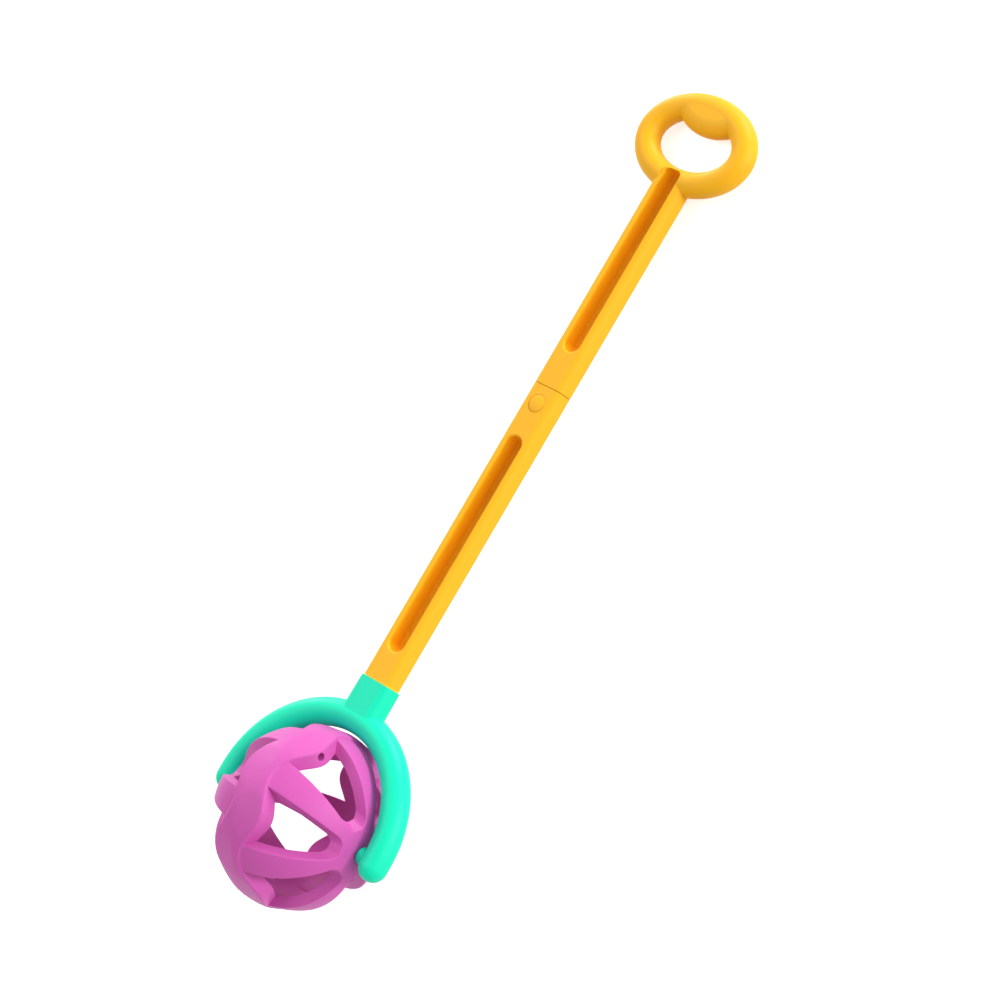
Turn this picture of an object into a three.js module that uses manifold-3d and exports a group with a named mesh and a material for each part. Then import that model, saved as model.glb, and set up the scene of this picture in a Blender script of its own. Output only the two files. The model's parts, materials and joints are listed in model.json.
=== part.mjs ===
// Toddler push toy: a two-piece handle with a ring grip, a fork, and an openwork ball that rolls in it.
// Lengths are millimetres. The toy is drawn with the ball's centre at the origin, +X along the axle,
// +Y up the handle and +Z out of the slotted face, and the last lines lay it on the floor.
import * as THREE from 'three';
import { mergeVertices } from 'three/addons/utils/BufferGeometryUtils.js';
import Module from 'manifold-3d';

const wasm = await Module();
wasm.setup();

// Fits
const seatGap = 0.3; // between faces that touch
const slideGap = 0.4; // round the button and its tongue
const endGap = 1.2; // beyond a spigot's end
const axleGap = 0.1; // round the axle pins
const hubGap = 0.4; // between hub and boss
const ballGap = 1.2; // between the ball's band and the fork
const overrun = 2; // how far a cutter runs past what it cuts

// Ball
const ballRadius = 56; // over the spokes, in the middle plane
const ballPoleRadius = 51.6; // along the axle
const bandRise = 1.4; // how far the wavy band stands proud of the spokes
const bandStep = 2; // width of the slope from band to spoke
const bandHalfWidth = 7.4; // middle plane to the band's edge, at a spoke
const lobeReach = 16.1; // middle plane to the band's edge, at a lobe
const ballWall = 6.6;
const hubFaceRadius = 9;
const hubSleeveRadius = 12.5;
const hubDepth = 9.2;
const windowHubRadius = 16.4; // axle to the window's round end
const windowCorner = 4.5; // how far the round end's corners draw back
const windowSideDraft = 2.3;
const windowBaseDraft = 2.3;
const windowHubDraft = 3;
const pegRadius = 2.2;
const pegLength = 7;
const pegInset = 4.9; // ball's surface to a peg's axis
const pegBossWall = 1.3; // around a peg's hole, inside the ball
const pegBossReach = 13; // middle plane to the boss's end, within the ball's wall
const spokeCount = 6;
const windowShare = 2 / 3; // of the angle between spokes
const lobeTurn = THREE.MathUtils.degToRad(42); // first lobe of the right half, from +Y towards +Z
const turnSteps = 60;

// Fork
const armRadius = 8.9;
const archRise = 2.1; // axle to the centre of the arch
const armReach = 2.7; // axle to where the arm's round end starts
const bossRadius = 4.9;
const bossRound = 1.2;
const pinRadius = 3.5;
const pinReach = 11; // boss end to pin tip
const collarTop = 93;
const collarWall = 1.7; // collar outside the shaft's own outline
const collarDraft = 0.4; // how much wider the collar is at the arch
const socketFloor = 72;
const archSteps = 30;
const roundSteps = 18;
const domeSteps = 3;

// Handle
const shaftWidth = 23.4;
const shaftDepth = 14.4;
const shaftCorner = 4.2;
const shaftSpigotInset = 0.9; // how much the shaft steps in where it enters the collar
const spigotLead = 1.2;
const seamPlace = 298;
const socketWall = 2;
const spigotLength = 30;
const slotWidth = 12.6;
const slotFloorWall = 2.6;
const slotDraft = 0.5;
const slotFloorRound = 1.2;
const slotLip = 1.4;
const slotRound = 6.2; // at the slots' ends
const upperSlotEndRound = 4; // where the slot meets the ring
const lowerSlotStart = 113.5;
const lowerSlotMargin = 35; // lower slot's end to the seam
const upperSlotMargin = 25; // seam to the upper slot
const upperSlotWall = 2.5; // upper slot's end to the hole in the ring
const cornerSteps = 5;

// Ring grip
const ringPlace = 471.1; // axle to the ring's centre
const ringHalfWidth = 36.9; // along X, to the middle of the tube
const ringHalfLength = 25.2; // along Y, to the middle of the tube
const ringTubeRadius = 8.1;
const plateThickness = 15;
const plateRound = 4.5; // how far back from its free edge the plate thins
const plateEdgeRadius = 45;
const plateEdgePlace = 6.6; // ring centre to the plate's free edge
const ringSteps = 44;

// Snap button
const buttonMargin = 11.8; // button to the seam
const buttonRadius = 5.8;
const buttonRound = 0.7;
const buttonProud = 0.2; // rim above the shaft's face
const buttonCrown = 0.5; // middle above the rim
const buttonTravel = 2.8;
const tongueWidth = 9;
const tongueThickness = 1.6;
const tongueRootWall = 3; // spigot end to the tongue's pocket
const tongueTipMargin = 3.4; // seam to the tongue's pocket

const fullTurn = 2 * Math.PI;
const quarterTurn = Math.PI / 2;
const lobePitch = fullTurn / spokeCount;
const windowHalfAngle = lobePitch * windowShare / 2;
const bandRadius = ballRadius + bandRise;
const archRadius = bandRadius + ballGap + armRadius - archRise;
const pegCircleRadius = ballRadius - pegInset;
const socketDepth = spigotLength + endGap;
const buttonPlace = seamPlace - buttonMargin;
const lowerSlotEnd = seamPlace - lowerSlotMargin;
const upperSlotStart = seamPlace + upperSlotMargin;
const upperSlotEnd = ringPlace - ringHalfLength + ringTubeRadius - upperSlotWall;

// Skin through a row of rings with equal numbers of points. The row is capped by a point at each end,
// or, with no caps, closes on itself.
function loft(rings, startCap, endCap) {
  const count = rings[0].length;
  const points = rings.flat();
  const faces = [];
  const rows = startCap ? rings.length - 1 : rings.length;
  for (let row = 0; row < rows; row += 1) {
    const next = ((row + 1) % rings.length) * count;
    for (let i = 0; i < count; i += 1) {
      const j = (i + 1) % count;
      const a = row * count + i;
      const b = row * count + j;
      faces.push(a, b, next + j, a, next + j, next + i);
    }
  }
  if (startCap) {
    const last = (rings.length - 1) * count;
    const start = points.push(startCap) - 1;
    const end = points.push(endCap) - 1;
    for (let i = 0; i < count; i += 1) {
      const j = (i + 1) % count;
      faces.push(start, j, i, end, last + i, last + j);
    }
  }
  const geometry = new THREE.BufferGeometry().setFromPoints(points);
  geometry.setIndex(faces);
  return geometry;
}

function middleOf(ring) {
  const middle = new THREE.Vector3();
  ring.forEach((point) => middle.addScaledVector(point, 1 / ring.length));
  return middle;
}

// A loft with flat ends
function cappedLoft(rings) {
  return loft(rings, middleOf(rings[0]), middleOf(rings[rings.length - 1]));
}

function toSolid(geometry) {
  const bare = geometry.clone();
  bare.deleteAttribute('normal');
  bare.deleteAttribute('uv');
  const merged = mergeVertices(bare);
  const solid = new wasm.Manifold(new wasm.Mesh({
    numProp: 3,
    vertProperties: new Float32Array(merged.attributes.position.array),
    triVerts: new Uint32Array(merged.index.array),
  }));
  if (solid.volume() > 0) return solid;
  throw new Error('a shape is inside out');
}

function toGeometry(solid) {
  const mesh = solid.getMesh();
  const geometry = new THREE.BufferGeometry();
  geometry.setAttribute('position', new THREE.BufferAttribute(mesh.vertProperties, 3));
  geometry.setIndex(new THREE.BufferAttribute(mesh.triVerts, 1));
  geometry.computeVertexNormals();
  return geometry;
}

// Outline points, each [across, along], as a ring at one height of the named axis
function ringAtY(outline, height) {
  return outline.map(([x, z]) => new THREE.Vector3(x, height, z));
}

function ringAtZ(outline, height) {
  return outline.map(([x, y]) => new THREE.Vector3(x, y, height));
}

function roundedRectangle(halfWidth, halfDepth, corner) {
  const outline = [];
  const quarters = [[1, 1], [-1, 1], [-1, -1], [1, -1]];
  quarters.forEach(([sideX, sideZ], quarter) => {
    for (let i = 0; i <= cornerSteps; i += 1) {
      const turn = (quarter + i / cornerSteps) * quarterTurn;
      const x = sideX * (halfWidth - corner) + corner * Math.cos(turn);
      const z = sideZ * (halfDepth - corner) + corner * Math.sin(turn);
      outline.push([x, z]);
    }
  });
  return outline;
}

// A bar along Y with the shaft's outline drawn in by an inset, and its first end led in
function shaftBar(inset, from, to, lead) {
  const outline = (extra) => roundedRectangle(
    shaftWidth / 2 - inset - extra,
    shaftDepth / 2 - inset - extra,
    shaftCorner - inset / 2 - extra,
  );
  const rings = [ringAtY(outline(lead), from), ringAtY(outline(0), from + lead), ringAtY(outline(0), to)];
  if (lead === 0) rings.shift();
  return toSolid(cappedLoft(rings.map((ring) => ring.reverse())));
}

// A slot's outline, drawn in by an inset
function slotOutline(from, to, endRound, inset) {
  const half = slotWidth / 2;
  const outline = [];
  const corner = (side, place, round, quarter) => {
    for (let i = 0; i <= cornerSteps; i += 1) {
      const turn = (quarter + i / cornerSteps) * quarterTurn;
      const x = side * (half - round) + (round - inset) * Math.cos(turn);
      outline.push([x, place + (round - inset) * Math.sin(turn)]);
    }
  };
  corner(1, to - endRound, endRound, 0);
  corner(-1, to - endRound, endRound, 1);
  corner(-1, from + slotRound, slotRound, 2);
  corner(1, from + slotRound, slotRound, 3);
  return outline;
}

// A slot's cutter: drafted, with a rounded floor edge and a rounded lip
function slotCutter(from, to, endRound) {
  const floor = slotFloorWall - shaftDepth / 2;
  const face = shaftDepth / 2;
  const ring = (inset, height) => ringAtZ(slotOutline(from, to, endRound, inset), height);
  const halfTurn = quarterTurn / 2;
  return toSolid(cappedLoft([
    ring(slotDraft + slotFloorRound, floor),
    ring(slotDraft, floor + slotFloorRound),
    ring(0, face - slotLip),
    ring(slotLip * (Math.cos(halfTurn) - 1), face - slotLip * (1 - Math.sin(halfTurn))),
    ring(-slotLip, face),
    ring(-slotLip, face + overrun),
  ]));
}

// A turned shape: profile points are [radius, distance along the axis]
function turned(profile, steps) {
  const points = profile.map(([radius, along]) => new THREE.Vector2(radius, along));
  return new THREE.LatheGeometry(points, steps);
}

function cylinderAlongX(radius, from, to, y, z) {
  const geometry = new THREE.CylinderGeometry(radius, radius, to - from, roundSteps);
  geometry.rotateZ(-quarterTurn);
  geometry.translate((from + to) / 2, y, z);
  return toSolid(geometry);
}

function boxSolid(width, from, to, bottom, top) {
  const geometry = new THREE.BoxGeometry(width, to - from, top - bottom);
  geometry.translate(0, (from + to) / 2, (bottom + top) / 2);
  return toSolid(geometry);
}

// Ball

// Where the band's wavy edge lies, at an angle about the axle from a lobe's middle
function bandEdge(turn) {
  const swell = (1 + Math.cos(turn * spokeCount)) / 2;
  return bandHalfWidth + (lobeReach - bandHalfWidth) * swell;
}

function shellRadius(axial, middleRadius, poleRadius) {
  return middleRadius * Math.sqrt(1 - (axial / poleRadius) ** 2);
}

function ballPoint(axial, radius, turn) {
  return new THREE.Vector3(axial, radius * Math.cos(turn), radius * Math.sin(turn));
}

// One meridian of a half, listed up the outside, through the hub's bore and back down the inside
function halfMeridian(turn) {
  const start = seatGap / 2;
  const edge = bandEdge(turn);
  const profile = [];
  const bandRows = 2;
  for (let row = 0; row <= bandRows; row += 1) {
    const axial = start + (edge - start) * row / bandRows;
    profile.push([axial, shellRadius(axial, ballRadius, ballPoleRadius) + bandRise]);
  }
  const shellRows = 7;
  const stepLatitude = Math.asin((edge + bandStep) / ballPoleRadius);
  const hubLatitude = Math.acos(hubFaceRadius / ballRadius);
  for (let row = 0; row <= shellRows; row += 1) {
    const latitude = stepLatitude + (hubLatitude - stepLatitude) * row / shellRows;
    profile.push([ballPoleRadius * Math.sin(latitude), ballRadius * Math.cos(latitude)]);
  }
  const hubFace = ballPoleRadius * Math.sin(hubLatitude);
  profile.push([hubFace, pinRadius + axleGap]);
  profile.push([hubFace - hubDepth, pinRadius + axleGap]);
  profile.push([hubFace - hubDepth, hubSleeveRadius]);
  const innerRows = 6;
  const innerRadius = ballRadius - ballWall;
  const innerPoleRadius = ballPoleRadius - ballWall;
  const sleeveLatitude = Math.acos(hubSleeveRadius / innerRadius);
  const startLatitude = Math.asin(start / innerPoleRadius);
  for (let row = 0; row <= innerRows; row += 1) {
    const latitude = sleeveLatitude + (startLatitude - sleeveLatitude) * row / innerRows;
    profile.push([innerPoleRadius * Math.sin(latitude), innerRadius * Math.cos(latitude)]);
  }
  return profile.reverse().map(([axial, radius]) => ballPoint(axial, radius, turn + lobeTurn));
}

// A window's outline on the outer skin (inset 0) or the inner skin (inset 1)
function windowOutline(inset, middleTurn) {
  const middleRadius = bandRadius + (ballRadius - ballWall - bandRadius) * inset;
  const poleRadius = ballPoleRadius - ballWall * inset;
  const halfAngle = (radius) => windowHalfAngle - Math.asin(inset * windowSideDraft / radius);
  const axialAt = (radius) => poleRadius * Math.sqrt(1 - (radius / middleRadius) ** 2);
  const outline = [];
  const add = (axial, radius, turn) => outline.push(ballPoint(axial, radius, middleTurn + turn + lobeTurn));

  const baseSteps = 10;
  const baseAngle = halfAngle(middleRadius);
  for (let i = 0; i <= baseSteps; i += 1) {
    const turn = baseAngle * (2 * i / baseSteps - 1);
    const axial = bandEdge(turn) + inset * windowBaseDraft;
    add(axial, shellRadius(axial, middleRadius, poleRadius), turn);
  }

  const endRadius = windowHubRadius + inset * windowHubDraft;
  const cornerLatitude = Math.acos((endRadius + windowCorner) / middleRadius);
  const baseLatitude = Math.asin((bandEdge(baseAngle) + inset * windowBaseDraft) / poleRadius);
  const sideSteps = 5;
  const sidePoint = (i, side) => {
    const latitude = baseLatitude + (cornerLatitude - baseLatitude) * i / sideSteps;
    const radius = middleRadius * Math.cos(latitude);
    add(poleRadius * Math.sin(latitude), radius, side * halfAngle(radius));
  };
  for (let i = 1; i < sideSteps; i += 1) sidePoint(i, 1);

  const endSteps = 8;
  for (let i = 0; i <= endSteps; i += 1) {
    const across = 1 - 2 * i / endSteps;
    const radius = endRadius + windowCorner * across ** 4;
    add(axialAt(radius), radius, across * halfAngle(radius));
  }
  for (let i = sideSteps - 1; i > 0; i -= 1) sidePoint(i, -1);
  return outline;
}

function windowCutter(middleTurn) {
  const outer = windowOutline(0, middleTurn);
  const inner = windowOutline(1, middleTurn);
  const pastShare = 0.4; // of the wall, past each skin
  const beyond = outer.map((point, i) => point.clone().lerp(inner[i], -pastShare));
  const within = outer.map((point, i) => point.clone().lerp(inner[i], 1 + pastShare));
  const peakShare = 1.3; // of the ball's radius, to clear the bulge inside the outline
  const peak = middleOf(beyond).setLength(bandRadius * peakShare);
  return toSolid(loft([within, beyond], middleOf(within), peak));
}

function ballHalf() {
  const rings = [];
  for (let step = 0; step < turnSteps; step += 1) rings.push(halfMeridian(fullTurn * step / turnSteps));
  let half = toSolid(loft(rings));
  for (let i = 0; i < spokeCount; i += 1) half = half.subtract(windowCutter(i * lobePitch));
  // Two opposite lobes are thickened and bored for the other half's pegs, and two opposite spokes carry pegs
  for (const side of [0, Math.PI]) {
    const hole = ballPoint(0, pegCircleRadius, lobeTurn + side);
    const peg = ballPoint(0, pegCircleRadius, lobeTurn - lobePitch / 2 + side);
    const holeRadius = pegRadius + seatGap;
    half = half.add(cylinderAlongX(holeRadius + pegBossWall, seatGap, pegBossReach, hole.y, hole.z));
    half = half.subtract(cylinderAlongX(holeRadius, -overrun, lobeReach + overrun, hole.y, hole.z));
    half = half.add(cylinderAlongX(pegRadius, -pegLength, bandHalfWidth / 2, peg.y, peg.z));
  }
  return toGeometry(half);
}

// Fork

function archTube() {
  const ring = (x, y, normalX, normalY, radius) => {
    const points = [];
    for (let i = 0; i < roundSteps; i += 1) {
      const turn = fullTurn * i / roundSteps;
      const out = radius * Math.cos(turn);
      points.push(new THREE.Vector3(x + out * normalX, y + out * normalY, radius * Math.sin(turn)));
    }
    return points;
  };
  const rings = [];
  const domeRing = (side, step) => {
    const turn = quarterTurn * step / domeSteps;
    const y = -armReach - armRadius * Math.sin(turn);
    rings.push(ring(side * archRadius, y, side, 0, armRadius * Math.cos(turn)));
  };
  for (let step = domeSteps - 1; step >= 0; step -= 1) domeRing(-1, step);
  for (let step = 0; step <= archSteps; step += 1) {
    const turn = Math.PI * (1 - step / archSteps);
    const normalX = Math.cos(turn);
    const normalY = Math.sin(turn);
    rings.push(ring(archRadius * normalX, archRise + archRadius * normalY, normalX, normalY, armRadius));
  }
  for (let step = 0; step < domeSteps; step += 1) domeRing(1, step);
  const tip = (side) => new THREE.Vector3(side * archRadius, -armReach - armRadius, 0);
  return toSolid(loft(rings, tip(-1), tip(1)));
}

// Boss and axle pin on one arm, pointing at the ball
function axle(side) {
  const hubFace = ballPoleRadius * Math.sin(Math.acos(hubFaceRadius / ballRadius));
  const bossEnd = hubFace + hubGap;
  const pinTip = bossEnd - pinReach;
  const profile = [[0, pinTip]];
  for (let i = 1; i <= domeSteps; i += 1) {
    const turn = quarterTurn * i / domeSteps;
    profile.push([pinRadius * Math.sin(turn), pinTip + pinRadius * (1 - Math.cos(turn))]);
  }
  profile.push([pinRadius, bossEnd]);
  for (let i = 0; i <= domeSteps; i += 1) {
    const turn = quarterTurn * i / domeSteps;
    const inset = bossRound * (1 - Math.sin(turn));
    profile.push([bossRadius - inset, bossEnd + bossRound * (1 - Math.cos(turn))]);
  }
  profile.push([bossRadius, archRadius]);
  profile.push([0, archRadius]);
  const geometry = turned(profile, roundSteps);
  geometry.rotateZ(-side * quarterTurn);
  return toSolid(geometry);
}

function fork() {
  const outline = (extra) => roundedRectangle(
    shaftWidth / 2 + extra,
    shaftDepth / 2 + extra,
    shaftCorner + extra,
  );
  const archMiddle = archRise + archRadius;
  const collar = toSolid(cappedLoft([
    ringAtY(outline(collarWall + collarDraft), archMiddle).reverse(),
    ringAtY(outline(collarWall), collarTop).reverse(),
  ]));
  const socket = shaftBar(shaftSpigotInset - seatGap, socketFloor, collarTop + overrun, 0);
  return toGeometry(archTube().add(collar).add(axle(1)).add(axle(-1)).subtract(socket));
}

// Handle

const socketInset = socketWall;
const spigotInset = socketWall + seatGap;
const spigotFace = shaftDepth / 2 - spigotInset;
const pocketFloor = spigotFace - tongueThickness - buttonTravel - slideGap;

function buttonHole(radius, bottom, top) {
  const geometry = new THREE.CylinderGeometry(radius, radius, top - bottom, 2 * roundSteps);
  geometry.rotateX(quarterTurn);
  geometry.translate(0, buttonPlace, (bottom + top) / 2);
  return toSolid(geometry);
}

function lowerHandle() {
  const shaft = shaftBar(0, collarTop + seatGap, seamPlace - seatGap / 2, 0);
  const spigot = shaftBar(shaftSpigotInset, socketFloor + seatGap, collarTop + overrun, spigotLead);
  const socket = shaftBar(socketInset, seamPlace - socketDepth, seamPlace + overrun, 0);
  const hole = buttonHole(buttonRadius + slideGap, 0, shaftDepth / 2 + overrun);
  const slot = slotCutter(lowerSlotStart, lowerSlotEnd, slotRound);
  return toGeometry(shaft.add(spigot).subtract(slot).subtract(socket).subtract(hole));
}

function ringGrip() {
  const rings = [];
  for (let step = 0; step < ringSteps; step += 1) {
    const turn = fullTurn * step / ringSteps;
    const normal = new THREE.Vector2(Math.cos(turn) / ringHalfWidth, Math.sin(turn) / ringHalfLength);
    normal.normalize();
    const ring = [];
    for (let i = 0; i < roundSteps; i += 1) {
      const round = fullTurn * i / roundSteps;
      const out = ringTubeRadius * Math.cos(round);
      ring.push(new THREE.Vector3(
        ringHalfWidth * Math.cos(turn) + out * normal.x,
        ringPlace + ringHalfLength * Math.sin(turn) + out * normal.y,
        -ringTubeRadius * Math.sin(round),
      ));
    }
    rings.push(ring);
  }
  return toSolid(loft(rings));
}

// The lens-shaped plate: the ring's own oval met by a wide disc with a rounded rim
function gripPlate() {
  const oval = [];
  for (let step = 0; step < ringSteps; step += 1) {
    const turn = fullTurn * step / ringSteps;
    oval.push([ringHalfWidth * Math.cos(turn), ringPlace + ringHalfLength * Math.sin(turn)]);
  }
  const face = plateThickness / 2;
  const profile = [[0, -face]];
  for (let i = -cornerSteps; i <= cornerSteps; i += 1) {
    const turn = quarterTurn * i / cornerSteps;
    profile.push([plateEdgeRadius - plateRound * (1 - Math.cos(turn)), face * Math.sin(turn)]);
  }
  profile.push([0, face]);
  const disc = turned(profile, 3 * ringSteps);
  disc.rotateX(quarterTurn);
  disc.translate(0, ringPlace + plateEdgePlace + plateEdgeRadius, 0);
  const prism = toSolid(cappedLoft([ringAtZ(oval, -face - overrun), ringAtZ(oval, face + overrun)]));
  return prism.intersect(toSolid(disc));
}

function tonguePocket() {
  const from = seamPlace - spigotLength + tongueRootWall;
  const to = seamPlace - tongueTipMargin;
  const top = spigotFace + overrun;
  const channel = boxSolid(tongueWidth + 2 * slideGap, from, to, pocketFloor, top);
  return channel.add(buttonHole(buttonRadius + slideGap, pocketFloor, top));
}

function ringHandle() {
  const shaft = shaftBar(0, seamPlace + seatGap / 2, ringPlace - ringHalfLength, 0);
  const spigot = shaftBar(spigotInset, seamPlace - spigotLength, seamPlace + overrun, spigotLead);
  const slot = slotCutter(upperSlotStart, upperSlotEnd, upperSlotEndRound);
  const body = ringGrip().add(gripPlate()).add(shaft).subtract(slot);
  return toGeometry(body.add(spigot.subtract(tonguePocket())));
}

function snapButton() {
  const bottom = spigotFace - tongueThickness;
  const rim = shaftDepth / 2 + buttonProud;
  const profile = [[0, bottom], [buttonRadius, bottom]];
  for (let i = 0; i <= domeSteps; i += 1) {
    const turn = quarterTurn * i / domeSteps;
    const inset = buttonRound * (1 - Math.cos(turn));
    profile.push([buttonRadius - inset, rim - buttonRound * (1 - Math.sin(turn))]);
  }
  const flatRadius = buttonRadius - buttonRound;
  for (let i = 1; i < domeSteps; i += 1) {
    const share = 1 - i / domeSteps;
    profile.push([flatRadius * share, rim + buttonCrown * (1 - share * share)]);
  }
  profile.push([0, rim + buttonCrown]);
  const head = turned(profile, 2 * roundSteps);
  head.rotateX(quarterTurn);
  head.translate(0, buttonPlace, 0);
  const from = seamPlace - spigotLength + tongueRootWall + seatGap;
  const to = seamPlace - tongueTipMargin - slideGap;
  return toGeometry(toSolid(head).add(boxSolid(tongueWidth, from, to, bottom, spigotFace)));
}

// Finishes: gloss moulded plastic in three colours
const plastic = { roughness: 0.35, metalness: 0 };
const yellow = new THREE.MeshStandardMaterial({ color: 0xffc72e, ...plastic });
const teal = new THREE.MeshStandardMaterial({ color: 0x17dfb8, ...plastic });
const pink = new THREE.MeshStandardMaterial({ color: 0xee63c4, ...plastic });

function piece(name, geometry, material) {
  const mesh = new THREE.Mesh(geometry, material);
  mesh.name = name;
  return mesh;
}

const half = ballHalf();
const rightHalf = piece('ball_half_right', half, pink);
// The left half is the same moulding, turned half way about a line in the middle plane so that
// its bored lobes meet the right half's pegs
const leftHalf = piece('ball_half_left', half.clone(), pink);
const flipTurn = lobeTurn - lobePitch / 4;
leftHalf.quaternion.setFromAxisAngle(new THREE.Vector3(0, Math.cos(flipTurn), Math.sin(flipTurn)), Math.PI);

const toy = new THREE.Group();
toy.add(rightHalf);
toy.add(leftHalf);
toy.add(piece('fork', fork(), teal));
toy.add(piece('lower_handle', lowerHandle(), yellow));
toy.add(piece('ring_handle', ringHandle(), yellow));
toy.add(piece('snap_button', snapButton(), yellow));

// Laid down, the toy rests on the ball and on the far end of the ring
const ringFarEnd = ringPlace + ringHalfLength;
const pitch = Math.asin((bandRadius - ringTubeRadius) / ringFarEnd);
const frontEnd = ringFarEnd * Math.cos(pitch) + ringTubeRadius;
toy.rotation.x = -pitch;
toy.position.set(0, (bandRadius - frontEnd) / 2, bandRadius);

const pushToy = new THREE.Group();
pushToy.add(toy);
export default pushToy;
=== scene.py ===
"""The looks of a toddler push toy: a slotted two-piece handle, a fork and an openwork ball."""

import json
import math

import bmesh
import bpy
from bpy.props import FloatProperty, FloatVectorProperty, PointerProperty
from mathutils import Matrix, Vector


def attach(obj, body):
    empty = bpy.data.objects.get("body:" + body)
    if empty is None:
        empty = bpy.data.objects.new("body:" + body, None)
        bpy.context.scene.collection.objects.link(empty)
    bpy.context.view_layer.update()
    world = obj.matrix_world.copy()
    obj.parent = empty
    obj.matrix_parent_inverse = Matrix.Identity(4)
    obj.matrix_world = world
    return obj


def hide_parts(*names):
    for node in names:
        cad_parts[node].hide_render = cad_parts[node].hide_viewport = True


bl_info = {
    "name": "Toddler push toy",
    "version": (1, 0, 0),
    "blender": (4, 5, 0),
    "location": "View3D > Sidebar > Push toy",
    "description": "Builds a push toy with a slotted handle, a fork and an openwork ball",
    "category": "Add Mesh",
}

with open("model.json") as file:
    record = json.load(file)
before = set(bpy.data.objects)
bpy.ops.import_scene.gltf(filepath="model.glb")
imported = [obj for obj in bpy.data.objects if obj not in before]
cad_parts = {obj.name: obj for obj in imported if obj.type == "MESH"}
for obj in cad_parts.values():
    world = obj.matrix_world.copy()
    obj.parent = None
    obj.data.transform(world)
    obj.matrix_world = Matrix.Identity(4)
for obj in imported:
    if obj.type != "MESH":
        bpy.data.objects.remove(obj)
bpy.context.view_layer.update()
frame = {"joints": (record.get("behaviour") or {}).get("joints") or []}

MM = 0.001
QUARTER = math.pi / 2
HALF = math.pi
FULL = 2 * math.pi

OVERRUN = 2 * MM  # how far a cut runs past the face that it opens
MERGE = 0.001 * MM  # points closer than this are one
SHARP = math.radians(32)  # edges that turn more than this stay crisp
FLATNESS = 60  # how much the large faces rule the shading next to them

# How finely the curves are drawn: steps round a circle, along the arch, and in the small roundings
OUTLINE_STEPS = 48
TUBE_STEPS = 40
DISC_STEPS = 64
PEG_STEPS = 32
ARCH_STEPS = 72
OVAL_STEPS = 112
PAD_STEPS = 192
PAD_EDGE_STEPS = 14
ARM_END_STEPS = 10
AXLE_STEPS = 8
BUTTON_STEPS = 6
SLOT_EDGE_STEPS = 5
MOUTH_STEPS = 4
BAR_END_STEPS = 3

# The toy is modelled with the ball's centre at the origin, +X along the axle, +Y up the handle and
# +Z out of the slotted face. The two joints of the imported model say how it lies.
joints = {joint["name"]: joint for joint in frame["joints"]}
pivot = Vector(joints["ball_spin"]["pos_m"])
along_x = Vector(joints["ball_spin"]["axis"]).normalized()
along_z = -Vector(joints["button_press"]["axis"]).normalized()
along_y = along_z.cross(along_x)
LAID = Matrix.Translation(pivot) @ Matrix((along_x, along_y, along_z)).transposed().to_4x4()


def length(name, description, millimetres):
    """A length that a user may change, kept in metres."""
    return FloatProperty(
        name=name, description=description, default=millimetres * MM, unit="LENGTH", precision=5
    )


def angle(name, description, degrees):
    """An angle that a user may change, kept in radians."""
    return FloatProperty(
        name=name, description=description, default=math.radians(degrees), unit="ROTATION"
    )


def share(name, description, value):
    """A share between 0 and 1 that a user may change."""
    return FloatProperty(name=name, description=description, default=value, subtype="FACTOR")


def from_hex(code):
    """An sRGB hex colour as linear numbers."""
    channels = [int(code[i : i + 2], 16) / 255 for i in (1, 3, 5)]
    return [c / 12.92 if c <= 0.04045 else ((c + 0.055) / 1.055) ** 2.4 for c in channels]


def colour(name, description, code):
    """A colour that a user may change, given as an sRGB hex code."""
    return FloatVectorProperty(
        name=name, description=description, default=from_hex(code), subtype="COLOR"
    )


class BallSizes(bpy.types.PropertyGroup):
    """The openwork ball, made of two equal halves."""

    radius: length("Radius", "Over the spokes, in the middle plane", 56)
    pole_radius: length("Pole radius", "Along the axle", 53)
    band_rise: length("Band rise", "How far the wavy band stands proud of the spokes", 1.4)
    band_step: length("Band step", "Width of the slope from the band to a spoke", 2)
    band_half_width: length("Band half width", "Middle plane to the band's edge, at a spoke", 7.4)
    lobe_reach: length("Lobe reach", "Middle plane to the band's edge, at a lobe", 16.1)
    band_round: length("Band round", "Rounding of the band's edge", 1.3)
    facet_start: length("Facet start", "How far a lobe's facet reaches past the middle plane", 2)
    facet_half_angle: angle("Facet half angle", "From a lobe's middle to its facet's tip", 14)
    wall: length("Wall", "Thickness of the shell", 6.6)
    hub_face: length("Hub face radius", "Flat round face that the fork's boss meets", 9)
    hub_sleeve: length("Hub sleeve radius", "Sleeve round the axle, inside the ball", 12.5)
    hub_fillet: length("Hub fillet", "How far the sleeve widens at the shell", 1.5)
    hub_depth: length("Hub depth", "Length of the bore for the axle", 9.2)
    bore: length("Bore radius", "Hole for the axle pin", 3.6)
    window_hub: length("Window end radius", "Axle to the round end of each window", 16.4)
    window_corner: length("Window corner", "How far the round end's corners draw back", 4.5)
    side_draft: length("Side draft", "How much a window narrows inwards at its sides", 2.3)
    base_draft: length("Base draft", "How much a window narrows inwards at the band", 2.3)
    hub_draft: length("Hub draft", "How much a window narrows inwards at the hub", 3)
    edge_round: length("Edge round", "Radius of the openwork's edges", 0.45)
    peg: length("Peg radius", "Pegs that join the halves", 2.2)
    peg_inset: length("Peg inset", "Ball's surface to a peg's axis", 4.9)
    peg_hole: length("Peg hole radius", "Holes for the pegs", 2.5)
    peg_length: length("Peg length", "How far a peg stands in the other half", 7)
    boss_wall: length("Boss wall", "Round a peg's hole, inside the ball", 1.3)
    boss_start: length("Boss start", "Middle plane to the boss's face", 0.3)
    boss_reach: length("Boss reach", "Middle plane to the boss's end, in the shell", 13)
    lobe_turn: angle("Lobe turn", "First lobe of the right half, from the handle", 42)


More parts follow.
